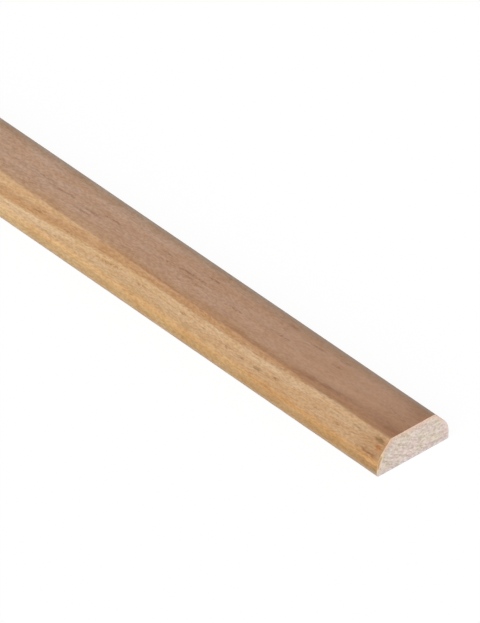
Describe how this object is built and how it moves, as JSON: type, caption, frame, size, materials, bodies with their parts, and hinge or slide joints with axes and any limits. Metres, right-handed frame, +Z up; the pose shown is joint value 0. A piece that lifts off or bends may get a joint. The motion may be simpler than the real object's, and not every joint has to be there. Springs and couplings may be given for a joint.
{
  "type": "cover strip",
  "caption": "Straight planed wooden cover strip with a flat back, bevelled sides eased into upright edges and square sawn ends, for hiding a joint or gap.",
  "frame": {"origin": "middle of the flat back, halfway along the strip", "axes": "+X along the strip, +Y across its width, +Z up from the back to the top face"},
  "size_m": [0.9, 0.032, 0.013],
  "materials": {
    "wood": "planed, unfinished"
  },
  "bodies": {
    "root": {"cover_strip": "wood"}
  },
  "joints": []
}
